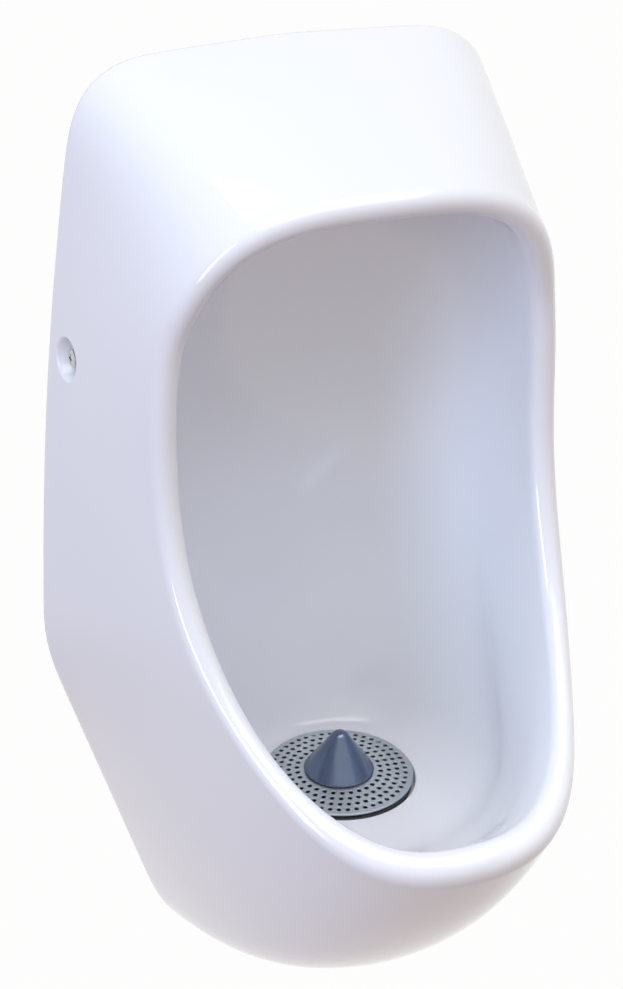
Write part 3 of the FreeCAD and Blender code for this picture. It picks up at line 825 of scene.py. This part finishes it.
    def hollow_net(self, net: Array) -> Array:
        """Control rows of the hollow: wall outline, skin and bowl sunk along the net's normals.

        Args:
            net: control rows of the outer surface.

        Returns:
            Rows from the wall to the drain hole's lower edge.
        """
        def sunk(k: int, amount: float) -> Array:
            """Row k moved into the china."""
            normal = unit(np.cross(np.roll(net[k], -1, 0) - np.roll(net[k], 1, 0), net[k + 1] - net[k - 1]))
            return net[k] + amount * normal
        inset = self.wall_outline(self.wall + 1.0)
        skin = [sunk(k, self.skin_sink * self.wall) for k in (3, 4, 5)]
        bowl = [sunk(k, self.bowl_sink * self.wall) for k in (15, 16, 17, 18)]
        nose = (1.0 - self.nose_share) * (skin[-1] + bowl[0]) / 2.0 + self.nose_share * self.roll_row(90.0)
        pull = self.nose_pull
        rows = [inset + [0, 3.0, 0], inset - [0, 3.0, 0]] + skin
        rows += [(1.0 - pull) * row + pull * nose for row in (skin[-1], bowl[0])] + bowl
        return np.stack(rows + [self.floor_ring(out, -self.floor) for out in (24.0, 10.0)])

    def pocket(self, p: Array) -> Array:
        """Side fixing pockets pressed into the outer skin.

        A point at distance d from the hole's axis is held below floor + slope * (d - floor radius);
        the two are blended by a smooth minimum, as glaze rounds an edge.

        Args:
            p: points of the outer surface.

        Returns:
            The points with both pockets.
        """
        d = np.hypot(p[..., 1] - self.hole_y, p[..., 2] - self.hole_z)
        x = np.abs(p[..., 0])
        limit = self.pocket_floor_x + self.pocket_slope * np.clip(d - self.pocket_floor_r, 0.0, None)
        soft = self.pocket_soft
        h = np.clip(0.5 + 0.5 * (limit - x) / soft, 0.0, 1.0)
        low = limit * (1 - h) + x * h - soft * h * (1 - h)
        near = (d < self.pocket_zone) & (x > self.pocket_floor_x - self.pocket_margin)
        out = p.copy()
        out[..., 0] = np.where(near, np.sign(p[..., 0]) * low, p[..., 0])
        return out

    def build(self, quick: bool) -> bpy.types.Object:
        """One closed surface round the whole casting.

        Rows run over the outer surface, down through seat and drain, back over the hollow and across
        the land on the wall; columns run round. Both directions close.

        Args:
            quick: coarser steps.

        Returns:
            The china object.
        """
        net = self.outer_net()
        hollow = self.hollow_net(net)
        stations = 2 * self.halves
        scan_u, scan_v = np.linspace(0, self.halves, 400), np.linspace(1.0, 6.0, 200)
        probe = surface_points(net, scan_v, ring_weights(scan_u, stations))
        gap = np.hypot(probe[..., 1] - self.hole_y, probe[..., 2] - self.hole_z)
        at_v, at_u = np.unravel_index(gap.argmin(), gap.shape)
        u0, v0 = float(scan_u[at_u]), float(scan_v[at_v])
        beyond = min(at_v + 4, len(scan_v) - 1)
        per_row = np.linalg.norm(probe[beyond, at_u] - probe[at_v, at_u]) / (scan_v[beyond] - scan_v[at_v])
        coarse = 2.0 if quick else 1.0
        sides = [(at, self.pocket_reach / self.station_gap, self.pocket_step_u * coarse)
                 for at in (u0, stations - u0)]
        u = refined(0.0, stations, self.step_u * coarse, tuple(sides))[:-1]
        rim_v, rim_half, rim_step = self.rim_window
        v = refined(0.0, len(net) - 3.0, self.step_v * coarse,
                    ((v0, self.pocket_reach / per_row, self.pocket_step / per_row * coarse),
                     (rim_v, rim_half, rim_step * coarse)))
        wu = ring_weights(u, stations)
        outer = self.pocket(surface_points(net, v, wu))
        hv = np.linspace(0.0, len(hollow) - 3.0, 60 if quick else 110)
        inner = surface_points(hollow, hv, wu)
        start = int(np.argmax((inner[..., 1] < 0.0).all(axis=1)))
        inner = inner[start:]
        edge = inner[0].copy()
        edge[:, 1] = 0.0
        seat_z, under_z = self.floor_z - self.seat_depth, self.floor_z - self.floor
        upper, middle, lower = self.seat_edges
        drain = softened([(self.seat_r + self.seat_land - 0.2, self.floor_z, 0.0),
                          (self.seat_r, self.floor_z, upper), (self.seat_r, seat_z, middle),
                          (self.drain_r, seat_z, middle), (self.drain_r, under_z, lower),
                          (self.seat_r + self.under_land, under_z, 0.0)])
        angle = np.arctan2(outer[-1, :, 0], outer[-1, :, 1] - self.drain_y)
        rings = np.stack([drain[:, :1] * np.sin(angle), self.drain_y + drain[:, :1] * np.cos(angle),
                          np.repeat(drain[:, 1:], len(u), 1)], -1)
        grid = np.concatenate([outer, rings, inner[::-1], edge[None]]) * MM
        rows, cols = grid.shape[:2]
        faces = grid_faces(rows, cols, Closure.TORUS)[:, ::-1]
        return new_object("china_casting", grid.reshape(-1, 3), faces)


# ---- Strainer ----
@dataclass
class Strainer:
    """Perforated plate with feet and legs, and the polished cone; sizes in millimetres.

    hole_edge holds the rounded edge of a hole: distance outwards and share of the plate's thickness;
    cone_edge that of the cone's foot: distances inwards and upwards. A foot's or leg's size is along and
    across its radius, and its sink is how far it reaches up into the plate.
    """

    axis_y: float = -122.0
    plate_r: float = 50.3
    plate_t: float = 1.5
    rise: float = 2.1
    flat_r: float = 24.5
    low_z: float = 201.5
    bore_r: float = 3.3
    hole_r: float = 1.6
    hole_edge: Pairs = ((0.4, 1.0), (0.3, 1.0), (0.06, 0.96), (0.0, 0.85), (0.0, 0.1), (0.2, 0.0))
    rings: tuple[tuple[int, float], ...] = ((30, 0.560), (36, 0.672), (42, 0.784), (48, 0.896))
    plain_in: float = 3.0
    plain_out: float = 2.9
    inner_steps: int = 6
    outer_steps: int = 8
    edge: float = 0.35
    feet: int = 6
    foot_size: tuple[float, float] = (3.0, 6.0)
    foot_sink: float = 0.4
    legs: int = 3
    leg_size: tuple[float, float] = (1.8, 4.0)
    leg_sink: float = 1.6
    leg_dip: float = 8.0
    bar_corner: float = 0.6
    cone_r: float = 23.6
    cone_h: float = 29.5
    tip_r: float = 7.0
    cone_wall: float = 1.6
    cone_toe: float = 0.5
    cone_steps: int = 128
    cone_edge: Pairs = ((0.0, 0.25), (0.15, 0.08), (0.4, 0.0))
    gasket_t: float = 0.8
    flange_top: float = 199.0
    foot_r: float = 46.5
    leg_r: float = 30.8
    cup_top: float = 188.0

    def lift(self, r: Array) -> Array:
        """Height of the coned plate above its edge: straight from rim to flat middle."""
        return self.rise * np.clip((self.plate_r - r) / (self.plate_r - self.flat_r), 0.0, 1.0)

    def build_plate(self) -> bpy.types.Object:
        """Perforated plate: one band of cells per ring of holes, with plain rings inside and outside.

        Every cell is a sector of its band with a round hole in the middle. Its outline is carried over
        the top, down the hole and back below, so rows are the outline, the hole's edge above and below,
        and the outline again; columns run round the cell. Cells of one band, and the plain rings, meet
        point to point and are merged. Two neighbouring bands have equally many points on the circle
        between them, the least common multiple of their counts, but half a step apart. So they don't
        join: slits and overlaps of up to 5 micrometres stay open on these three circles.

        Returns:
            The plate.
        """
        counts = [count for count, _ in self.rings]
        radii = [self.plate_r * part for _, part in self.rings]
        middles = ((p + q) / 2 for p, q in zip(radii, radii[1:]))
        edges = [radii[0] - self.plain_in, *middles, radii[-1] + self.plain_out]
        shared = [counts[0] * self.inner_steps, *(math.lcm(p, q) for p, q in zip(counts, counts[1:])),
                  counts[-1] * self.outer_steps]
        points: list[Array] = []
        quads: list[Array] = []
        base = 0
        for k, (count, radius) in enumerate(zip(counts, radii)):
            grid = self.cells(count, radius, edges[k:k + 2], (shared[k] // count, shared[k + 1] // count))
            rows, cols = grid.shape[1:3]
            faces = grid_faces(rows, cols, Closure.AROUND)
            shift = base + np.arange(count)[:, None, None] * rows * cols
            quads.append((faces[None] + shift).reshape(-1, 4))
            points.append(grid.reshape(-1, 3))
            base += count * rows * cols
        plain = (self.bore_r, edges[0], shared[0]), (edges[-1], self.plate_r, shared[-1])
        for inner, outer, steps in plain:
            grid = self.plain_ring(inner, outer, steps)
            quads.append(grid_faces(*grid.shape[:2], Closure.AROUND) + base)
            points.append(grid.reshape(-1, 3))
            base += len(points[-1])
        flat = np.concatenate(points)
        _, first, back = np.unique(np.round(flat * 1e6).astype(np.int64), axis=0,
                                   return_index=True, return_inverse=True)
        return new_object("strainer_disc", flat[first], back.reshape(-1)[np.concatenate(quads)])

    def surface(self, r: Array, a: Array, side: Array) -> Array:
        """Point of the plate in metres at radius, angle and side (1 above, 0 below)."""
        z = self.low_z + self.lift(r) + self.plate_t * side
        return np.stack([r * np.cos(a), self.axis_y + r * np.sin(a), z], -1) * MM

    def cells(self, count: int, radius: float, band: list[float], parts: tuple[int, int]) -> Array:
        """Cells of one band.

        Args:
            count: number of holes.
            radius: radius of the circle they lie on.
            band: inner and outer radius of the band.
            parts: steps of a cell's inner and outer arc.

        Returns:
            count x rows x columns x 3 points in metres.
        """
        half = math.pi / count
        low = np.linspace(-half, half, parts[0] + 1)
        high = np.linspace(half, -half, parts[1] + 1)
        up = np.linspace(band[0], band[1], 4)[1:-1]
        r = np.concatenate([np.full(len(low), band[0]), up, np.full(len(high), band[1]), up[::-1]])
        t = np.concatenate([low, np.full(2, half), high, np.full(2, -half)])
        x, y = r * np.cos(t) - radius, r * np.sin(t)
        way = np.arctan2(y, x)
        rows = [(r, t, 1.0)]
        for outwards, level in self.hole_edge:
            hole = self.hole_r + outwards
            hx, hy = radius + hole * np.cos(way), hole * np.sin(way)
            rows.append((np.hypot(hx, hy), np.arctan2(hy, hx), level))
        rows.append((r, t, 0.0))
        turn = (2 * np.pi * np.arange(count) / count)[:, None, None]
        rr = np.stack([row[0] for row in rows])[None] + 0 * turn
        tt = np.stack([row[1] for row in rows])[None] + turn
        side = np.array([row[2] for row in rows])[None, :, None] + 0 * tt
        return self.surface(rr, tt, side)

    def plain_ring(self, inner: float, outer: float, steps: int) -> Array:
        """Ring without holes; its free edge is rounded, its joined edge is left open.

        Args:
            inner: inner radius.
            outer: outer radius.
            steps: points around.

        Returns:
            Rows x steps x 3 points in metres, from one side of the joined edge to the other.
        """
        free_in = inner == self.bore_r
        joined, free, sign = (outer, inner, 1.0) if free_in else (inner, outer, -1.0)
        over = [(joined, 1.0), ((joined + free) / 2, 1.0), (free + sign * self.edge, 1.0),
                (free + sign * 0.1, 0.93), (free, 0.75)]
        line = over + [(r, 1.0 - side) for r, side in reversed(over)]
        a = np.linspace(0.0, 2 * np.pi, steps, endpoint=False)
        start = -math.pi / self.rings[0 if free_in else -1][0]
        r = np.array([p[0] for p in line])[:, None] + 0 * a
        side = np.array([p[1] for p in line])[:, None] + 0 * a
        grid = self.surface(r, a[None] + start + 0 * r, side)
        return grid if sign < 0 else grid[::-1]

    def build_stands(self) -> bpy.types.Object:
        """Six feet below the plate's edge and three legs that reach into the cup.

        Returns:
            The feet and legs.
        """
        kinds = ((self.feet, math.pi / 6, self.foot_r, *self.foot_size, self.flange_top,
                  self.low_z + self.foot_sink),
                 (self.legs, math.pi / 2, self.leg_r, *self.leg_size, self.cup_top - self.leg_dip,
                  self.low_z + self.leg_sink))
        points, quads, tris, base = [], [], [], 0
        for count, start, *bar in kinds:
            for k in range(count):
                p, q, t = self.block(2 * math.pi * k / count + start, *bar)
                points.append(p)
                quads.append(q + base)
                tris.append(t + base)
                base += len(p)
        return new_object("strainer_stands", np.concatenate(points), np.concatenate(quads),
                          np.concatenate(tris))

    def block(self, angle: float, radius: float, depth: float, width: float, low: float, high: float
              ) -> tuple[Array, Array, Array]:
        """Upright bar with rounded edges at a radius from the drain axis.

        Args:
            angle: direction from the axis.
            radius: distance of its middle from the axis.
            depth: size along the radius.
            width: size across it.
            low: height of its foot.
            high: height of its top.

        Returns:
            Points, quads and triangles: a rounded rectangle carried up through four levels.
        """
        d, w, e = depth / 2, width / 2, self.edge
        rim = softened([(x, y, self.bar_corner) for x, y in ((-d, -w), (d, -w), (d, w), (-d, w))])
        levels = [(low, -e), (low + e, 0.0), (high - e, 0.0), (high, -e)]
        rings = np.stack([np.column_stack([rim * (1 + inset / min(d, w)), np.full(len(rim), z)])
                          for z, inset in levels])
        c, s = math.cos(angle), math.sin(angle)

        def placed(p: Array) -> Array:
            """Local radius, width and height turned to the bar's angle, in metres."""
            x, y = p[..., 0] + radius, p[..., 1]
            return np.stack([c * x - s * y, self.axis_y + s * x + c * y, p[..., 2]], -1) * MM

        return capped(placed(rings), placed(np.array([0.0, 0.0, low])), placed(np.array([0.0, 0.0, high])))

    def build_cone(self) -> bpy.types.Object:
        """Polished cone: base edge, flank tangent to a ball tip, and the same line inside.

        Returns:
            The cone.
        """
        base = self.low_z + self.plate_t + self.rise + self.gasket_t

        def line(r: float, tip: float, height: float, steps: int) -> Array:
            """Profile over a ball tip and down a straight flank that touches it.

            Args:
                r: radius at the foot.
                tip: radius of the ball.
                height: height above the base.
                steps: points of the flank.

            Returns:
                (radius, height) rows that end a toe's height above the base.
            """
            ball = base + height - tip
            reach = math.hypot(r, ball - base - self.cone_toe)
            lean = math.atan2(ball - base - self.cone_toe, r) + math.asin(tip / reach)
            a = np.linspace(0.0, lean, 15)[1:]
            cap = np.stack([tip * np.sin(a), ball + tip * np.cos(a)], 1)
            t = np.linspace(0.0, 1.0, steps)[1:, None]
            foot = np.array([[r, base + self.cone_toe]])
            return np.concatenate([cap, cap[-1:] * (1 - t) + foot * t])

        outer = line(self.cone_r, self.tip_r, self.cone_h, 24)
        edge = np.array([[self.cone_r - inwards, base + upwards]
                         for inwards, upwards in (*self.cone_edge, (self.cone_wall, 0.0))])
        inner = line(self.cone_r - self.cone_wall, self.tip_r - self.cone_wall,
                     self.cone_h - self.cone_wall, 12)[::-1]
        grid = turned(np.concatenate([outer, edge, inner]) * MM, self.cone_steps, self.axis_y * MM)
        tips = (self.cone_h, self.cone_h - self.cone_wall)
        poles = [np.array([0.0, self.axis_y, base + h]) * MM for h in tips]
        points, quads, tris = capped(grid, *poles)
        return new_object("polished_cone", points, quads[:, ::-1], tris[:, ::-1])


# ---- Sub-assemblies whose solids keep their own meshes ----
Finish = Plastic | SatinSteel | SealRubber | ZincPlate


@dataclass
class DressedGroup:
    """Pieces that only get a finish."""

    title: str
    finishes: dict[str, Finish]

    def dress(self, nodes: dict[str, bpy.types.Object], ready: dict[str, Material]) -> None:
        """Assign each piece its material.

        Args:
            nodes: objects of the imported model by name.
            ready: materials already built, by finish name; filled on the way.
        """
        for name, finish in self.finishes.items():
            if finish.name not in ready:
                ready[finish.name] = finish.build()
            dress(nodes[name], ready[finish.name])
            LOG.info("%s: %s in %s", self.title, name, finish.name)


BELL = Plastic("bell_plastic", (0.045, 0.05, 0.055), 0.28)
CUP = Plastic("cup_plastic", (0.10, 0.13, 0.18), 0.38)
HOUSING = Plastic("housing_plastic", (0.055, 0.058, 0.062), 0.5)
NUT = Plastic("nut_plastic", (0.07, 0.073, 0.078), 0.52)
PIPE = Plastic("pipe_plastic", (0.36, 0.37, 0.38), 0.42)
BUSH = Plastic("bush_plastic", (0.62, 0.63, 0.64), 0.3)
SCREW = SatinSteel("screw_steel", (0.55, 0.55, 0.55), 0.25)
RUBBER = SealRubber()
ZINC = ZincPlate()


# ---- Studio ----
def placement(axes: tuple[Array, Array, Array], place: Triple) -> Matrix:
    """Placement with the given X, Y and Z axes and origin."""
    return Matrix([(*(axis[k] for axis in axes), place[k]) for k in range(3)] + [(0.0, 0.0, 0.0, 1.0)])


@dataclass(frozen=True)
class Lamp:
    """Soft rectangular lamp aimed at a point, in metres, watts and degrees of spread.

    One that isn't mirrored lights the object but leaves no image of itself in the glaze.
    """

    name: str
    place: Triple
    aim: Triple
    size: tuple[float, float]
    power: float
    colour: Triple = (1.0, 1.0, 1.0)
    mirrored: bool = True
    spread: float = 180.0

    def build(self) -> None:
        """Make the lamp look from its place to its aim, with its X level."""
        light = bpy.data.lights.new(self.name, "AREA")
        light.shape, light.size, light.size_y = "RECTANGLE", *self.size
        light.energy, light.color, light.spread = self.power, self.colour, math.radians(self.spread)
        obj = bpy.data.objects.new(self.name, light)
        bpy.context.scene.collection.objects.link(obj)
        back = unit(np.subtract(self.place, self.aim))
        level = unit(np.cross([0.0, 0.0, 1.0], back))
        obj.matrix_world = placement((level, np.cross(back, level), back), self.place)
        obj.visible_glossy = self.mirrored


@dataclass
class Studio:
    """Floor, white surround, lamps and camera."""

    floor_z: float = -0.42
    eye: Triple = (-0.586, -1.453, 1.199)
    yaw: float = 22.9
    pitch: float = 28.3
    roll: float = -1.6
    focal_px: float = 2600.0
    middle_px: tuple[float, float] = (314.0, 492.0)
    image_px: tuple[int, int] = (623, 989)
    sensor_mm: float = 36.0
    lamps: tuple[Lamp, ...] = (
        Lamp("ceiling_lamp", (0.0, -0.5, 2.6), (0.0, -0.15, 0.4), (2.2, 2.2), 30.5),
        Lamp("left_lamp", (-2.2, -1.0, 1.3), (0.0, -0.1, 0.4), (0.45, 1.7), 30.0, (0.58, 0.71, 1.0)),
        Lamp("right_lamp", (2.2, -0.5, 1.2), (0.0, -0.1, 0.4), (0.35, 1.6), 8.0, (0.90, 0.95, 1.0), False),
        Lamp("front_lamp", (-0.2, -2.6, 0.95), (0.0, -0.1, 0.5), (1.4, 0.8), 5.5, (1.0, 0.94, 0.88), False),
        Lamp("bowl_lamp", (0.0, -1.2, 2.2), (0.05, -0.28, 0.23), (0.3, 0.3), 0.045, mirrored=False,
             spread=11.0),
    )
    floor_half: float = 6.0
    floor_colour: Triple = (0.34, 0.19, 0.15)
    floor_white: float = 0.98
    sky_colour: Triple = (0.96, 0.92, 0.95)
    sky_strength: float = 0.51

    def build_floor(self) -> None:
        """Wide pale floor well below the hung piece; it shows white and keeps the soft shadow."""
        half = self.floor_half
        xy = np.array([(-half, -half), (half, -half), (half, half), (-half, half)])
        points = np.column_stack([xy, np.full(4, self.floor_z)])
        floor = new_object("studio_floor", points, np.array([[0, 1, 2, 3]]), smooth=False)
        sheet = NodeSheet(bpy.data.materials.new("pale_floor"))
        sheet.surface(Roughness=0.9, Base_Color=(*self.floor_colour, 1.0))
        sheet.whiten(self.floor_white)
        dress(floor, sheet.owner)

    def build_surround(self) -> None:
        """Even soft sky, seen as white."""
        sheet = NodeSheet(bpy.data.worlds.new("surround"))
        sheet.surface(Color=(*self.sky_colour, 1.0), Strength=self.sky_strength)
        sheet.whiten(1.0)
        bpy.context.scene.world = sheet.owner

    def build_camera(self) -> None:
        """Camera at the photograph's place; yaw, pitch and roll in degrees, lens from the focal length."""
        yaw, pitch, roll = (math.radians(a) for a in (self.yaw, self.pitch, self.roll))
        fwd = np.array([math.sin(yaw) * math.cos(pitch), math.cos(yaw) * math.cos(pitch), -math.sin(pitch)])
        right = np.array([math.cos(yaw), -math.sin(yaw), 0.0])
        down = np.cross(fwd, right)
        r2 = math.cos(roll) * right + math.sin(roll) * down
        d2 = -math.sin(roll) * right + math.cos(roll) * down
        camera = bpy.data.cameras.new("studio_camera")
        long_px = max(self.image_px)
        camera.sensor_width, camera.sensor_fit = self.sensor_mm, "AUTO"
        camera.lens = self.focal_px * self.sensor_mm / long_px
        camera.shift_x = (self.image_px[0] / 2 - self.middle_px[0]) / long_px
        camera.shift_y = (self.middle_px[1] - self.image_px[1] / 2) / long_px
        camera.clip_start, camera.clip_end = 0.05, 60.0
        obj = bpy.data.objects.new("studio_camera", camera)
        bpy.context.scene.collection.objects.link(obj)
        obj.matrix_world = placement((r2, -d2, -fwd), self.eye)
        bpy.context.scene.camera = obj

    def build(self) -> None:
        """Everything around the object."""
        self.build_floor()
        self.build_surround()
        for lamp in self.lamps:
            lamp.build()
        self.build_camera()
        bpy.context.scene.view_settings.view_transform = "Standard"


def main() -> None:
    """Build every sub-assembly in order and report it."""
    logging.basicConfig(level=logging.INFO, format="%(name)s %(message)s")
    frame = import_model()
    nodes = frame["nodes"]
    ready: dict[str, Material] = {}

    china = China().build(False)
    dress(china, Glaze().build())
    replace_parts(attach(china, "fixed_body"), "urinal_body")
    LOG.info("china: %d faces", len(china.data.polygons))

    strainer = Strainer()
    steel = SatinSteel().build()
    disc, stands = strainer.build_plate(), strainer.build_stands()
    for piece in (disc, stands):
        dress(piece, steel)
        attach(piece, "strainer")
        LOG.info("strainer: %s, %d faces", piece.name, len(piece.data.polygons))
    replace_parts(disc, "strainer_plate")
    cone = strainer.build_cone()
    dress(cone, PolishedMetal().build())
    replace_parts(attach(cone, "strainer"), "strainer_cone")
    LOG.info("strainer: polished cone, %d faces", len(cone.data.polygons))

    groups = (
        DressedGroup("strainer", {"cone_gasket": RUBBER, "cone_screw": SCREW, "dip_bell": BELL}),
        DressedGroup("trap", {"trap_cup": CUP, "cup_oring_lower": RUBBER, "cup_oring_upper": RUBBER,
                              "trap_standpipe": CUP, "trap_housing": HOUSING, "flange_seal": RUBBER,
                              "backnut_washer": RUBBER, "backnut": NUT}),
        DressedGroup("outlet", {"outlet_branch": HOUSING, "outlet_seal": RUBBER, "outlet_nut": NUT,
                                "waste_pipe": PIPE}),
        DressedGroup("wall fixing", {f"{part}_{side}": finish for side in ("left", "right")
                                     for part, finish in (("bracket", ZINC), ("clip_nut", ZINC),
                                                          ("side_bush", BUSH), ("side_screw", SCREW))}),
    )
    for group in groups:
        group.dress(nodes, ready)

    Studio().build()


if __name__ == "__main__":
    main()
